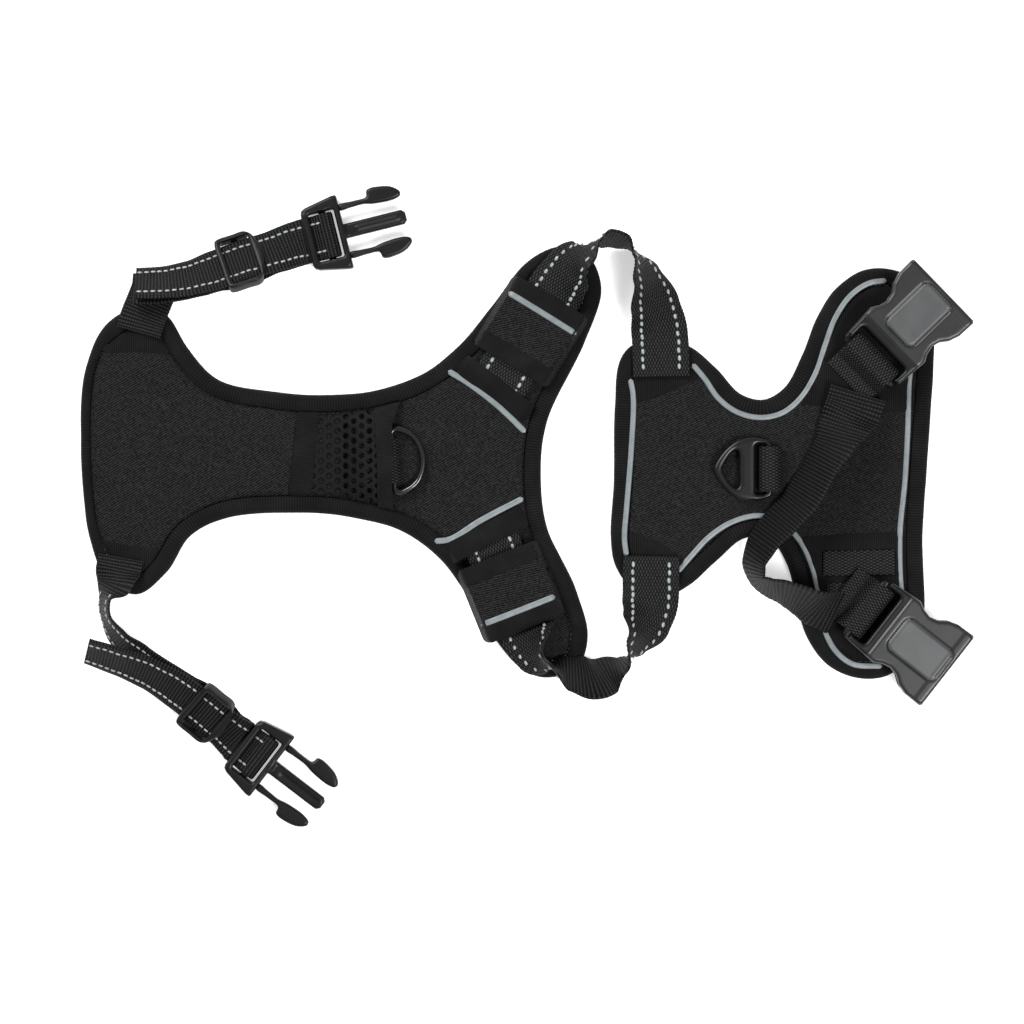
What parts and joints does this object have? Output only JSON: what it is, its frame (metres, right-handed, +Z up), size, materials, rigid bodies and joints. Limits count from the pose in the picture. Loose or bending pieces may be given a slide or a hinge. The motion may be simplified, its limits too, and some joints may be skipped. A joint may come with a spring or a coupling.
{
  "type": "dog walking harness vest",
  "caption": "Padded two-panel harness vest for a dog, laid flat, with neck straps, belly straps with side-release buckles, two leash rings and a handle.",
  "frame": {"origin": "on the surface that the harness lies on, under the middle of its box", "axes": "+Z up from that surface; +X along the harness, from the belly end of the chest panel to the sockets of the back panel; +Y across it"},
  "size_m": [0.3922, 0.2818, 0.0312],
  "materials": {
    "air_mesh_lining": "matte knitted air mesh",
    "foam_padding": "matte foam",
    "face_fabric": "fine oxford weave with a slight sheen",
    "edge_binding": "soft knitted tape with fine ribs",
    "ribbed_patch": "fine ribbed cloth",
    "reflective_tape": "satin glass-bead tape",
    "open_mesh": "open knitted mesh",
    "strap_webbing": "woven nylon webbing with light reflective stitches",
    "handle_webbing": "ribbed nylon webbing",
    "ring_steel": "glossy black plating",
    "ring_plastic": "satin moulded acetal",
    "buckle_plastic": "satin moulded acetal with a fine texture"
  },
  "bodies": {
    "chest": {"chest_lining": "air_mesh_lining", "chest_foam": "foam_padding", "chest_face_fabric": "face_fabric", "chest_edge_binding": "edge_binding", "chest_patch_upper": "ribbed_patch", "chest_patch_lower": "ribbed_patch", "arm_sleeve_outer_upper": "face_fabric", "arm_sleeve_inner_upper": "face_fabric", "arm_sleeve_outer_lower": "face_fabric", "arm_sleeve_inner_lower": "face_fabric", "tape_arm_outer_upper": "reflective_tape", "tape_arm_outer_lower": "reflective_tape", "tape_arm_inner_upper": "reflective_tape", "tape_arm_inner_lower": "reflective_tape", "neck_strap_upper_front": "strap_webbing", "neck_strap_lower_front": "strap_webbing", "front_ring_keeper": "strap_webbing", "front_mesh_cover": "open_mesh", "belly_anchor_upper": "strap_webbing", "belly_anchor_lower": "strap_webbing"},
    "back": {"back_lining": "air_mesh_lining", "back_foam": "foam_padding", "back_face_fabric": "face_fabric", "back_edge_binding": "edge_binding", "back_patch_upper_left": "ribbed_patch", "back_patch_lower_left": "ribbed_patch", "back_patch_upper_right": "ribbed_patch", "back_patch_lower_right": "ribbed_patch", "tape_back_left": "reflective_tape", "tape_back_top": "reflective_tape", "tape_back_right": "reflective_tape", "tape_back_bottom": "reflective_tape", "back_ring_keeper": "strap_webbing", "neck_strap_upper_rear": "strap_webbing", "neck_strap_lower_rear": "strap_webbing", "socket_loop_upper": "strap_webbing", "socket_loop_lower": "strap_webbing", "handle_anchor_upper": "handle_webbing", "handle_anchor_lower": "handle_webbing"},
    "front_ring": {"front_leash_ring": "ring_steel"},
    "back_ring": {"back_leash_ring": "ring_plastic"},
    "neck_slider_upper": {"neck_slider_upper": "buckle_plastic"},
    "neck_slider_lower": {"neck_slider_lower": "buckle_plastic"},
    "handle": {"handle": "handle_webbing"},
    "socket_upper": {"socket_upper": "buckle_plastic"},
    "socket_lower": {"socket_lower": "buckle_plastic"},
    "belly_strap_upper": {"belly_strap_upper_run": "strap_webbing", "belly_strap_upper_top": "strap_webbing"},
    "belly_slider_upper": {"belly_slider_upper": "buckle_plastic"},
    "plug_upper": {"plug_upper_frame": "buckle_plastic", "belly_strap_upper_loop": "strap_webbing"},
    "plug_upper_arm_left": {"plug_upper_arm_left": "buckle_plastic"},
    "plug_upper_arm_right": {"plug_upper_arm_right": "buckle_plastic"},
    "belly_strap_lower": {"belly_strap_lower_run": "strap_webbing", "belly_strap_lower_top": "strap_webbing"},
    "belly_slider_lower": {"belly_slider_lower": "buckle_plastic"},
    "plug_lower": {"plug_lower_frame": "buckle_plastic", "belly_strap_lower_loop": "strap_webbing"},
    "plug_lower_arm_left": {"plug_lower_arm_left": "buckle_plastic"},
    "plug_lower_arm_right": {"plug_lower_arm_right": "buckle_plastic"}
  },
  "joints": [
    {"name": "neck_fold", "type": "hinge", "parent": "chest", "child": "back", "pos_m": [0.036, 0.02, 0.0276], "axis": [0, -1, 0], "range_deg": [0, 90]},
    {"name": "front_ring_lift", "type": "hinge", "parent": "chest", "child": "front_ring", "pos_m": [-0.0582, 0.0198, 0.0084], "axis": [0.0698, -0.9976, 0], "range_deg": [0, 60]},
    {"name": "neck_slide_upper", "type": "slide", "parent": "chest", "child": "neck_slider_upper", "axis": [0.5147, 0.8574, 0], "range_m": [-0.004, 0.004]},
    {"name": "neck_slide_lower", "type": "slide", "parent": "chest", "child": "neck_slider_lower", "axis": [0.3714, -0.9285, 0], "range_m": [-0.004, 0.004]},
    {"name": "back_ring_lift", "type": "hinge", "parent": "back", "child": "back_ring", "pos_m": [0.1072, 0.0162, 0.00925], "axis": [0, 1, 0], "range_deg": [0, 80]},
    {"name": "handle_lift", "type": "hinge", "parent": "back", "child": "handle", "pos_m": [0.1495, 0.033, 0.01], "axis": [0.2689, 0.9632, 0], "range_deg": [0, 60]},
    {"name": "socket_swing_upper", "type": "hinge", "parent": "back", "child": "socket_upper", "pos_m": [0.15088, 0.06328, 0.0147], "axis": [0.6947, -0.7193, 0], "range_deg": [0, 60]},
    {"name": "socket_swing_lower", "type": "hinge", "parent": "back", "child": "socket_lower", "pos_m": [0.1494, -0.04482, 0.0147], "axis": [-0.6157, -0.788, 0], "range_deg": [0, 60]},
    {"name": "belly_lift_upper", "type": "hinge", "parent": "chest", "child": "belly_strap_upper", "pos_m": [-0.1686, 0.0885, 0.00785], "axis": [1, 0, 0], "range_deg": [0, 75]},
    {"name": "belly_lift_lower", "type": "hinge", "parent": "chest", "child": "belly_strap_lower", "pos_m": [-0.179, -0.0279, 0.00785], "axis": [-1, 0, 0], "range_deg": [0, 75]},
    {"name": "belly_slide_upper", "type": "slide", "parent": "belly_strap_upper", "child": "belly_slider_upper", "axis": [0.9477, 0.3142, -0.0569], "range_m": [-0.003, 0.003]},
    {"name": "plug_swing_upper", "type": "hinge", "parent": "belly_strap_upper", "child": "plug_upper", "pos_m": [-0.09904, 0.11603, 0.00383], "axis": [0.2416, -0.9698, 0.0349], "range_deg": [0, 20]},
    {"name": "latch_upper_left", "type": "hinge", "parent": "plug_upper", "child": "plug_upper_arm_left", "pos_m": [-0.08138, 0.13158, 0.00432], "axis": [0.0161, -0.032, -0.9994], "range_deg": [0, 7], "stiffness_Nm_per_rad": 0.6},
    {"name": "latch_upper_right", "type": "hinge", "parent": "plug_upper", "child": "plug_upper_arm_right", "pos_m": [-0.07617, 0.11063, 0.00508], "axis": [-0.0161, 0.032, 0.9994], "range_deg": [0, 7], "stiffness_Nm_per_rad": 0.6},
    {"name": "belly_slide_lower", "type": "slide", "parent": "belly_strap_lower", "child": "belly_slider_lower", "axis": [0.7709, -0.633, -0.0709], "range_m": [-0.003, 0.003]},
    {"name": "plug_swing_lower", "type": "hinge", "parent": "belly_strap_lower", "child": "plug_lower", "pos_m": [-0.12742, -0.10253, 0.00399], "axis": [-0.6059, -0.7938, -0.0523], "range_deg": [0, 20]},
    {"name": "latch_lower_left", "type": "hinge", "parent": "plug_lower", "child": "plug_lower_arm_left", "pos_m": [-0.10429, -0.10667, 0.00537], "axis": [0.036, 0.0384, -0.9986], "range_deg": [0, 7], "stiffness_Nm_per_rad": 0.6},
    {"name": "latch_lower_right", "type": "hinge", "parent": "plug_lower", "child": "plug_lower_arm_right", "pos_m": [-0.11738, -0.12382, 0.00424], "axis": [-0.036, -0.0384, 0.9986], "range_deg": [0, 7], "stiffness_Nm_per_rad": 0.6}
  ]
}
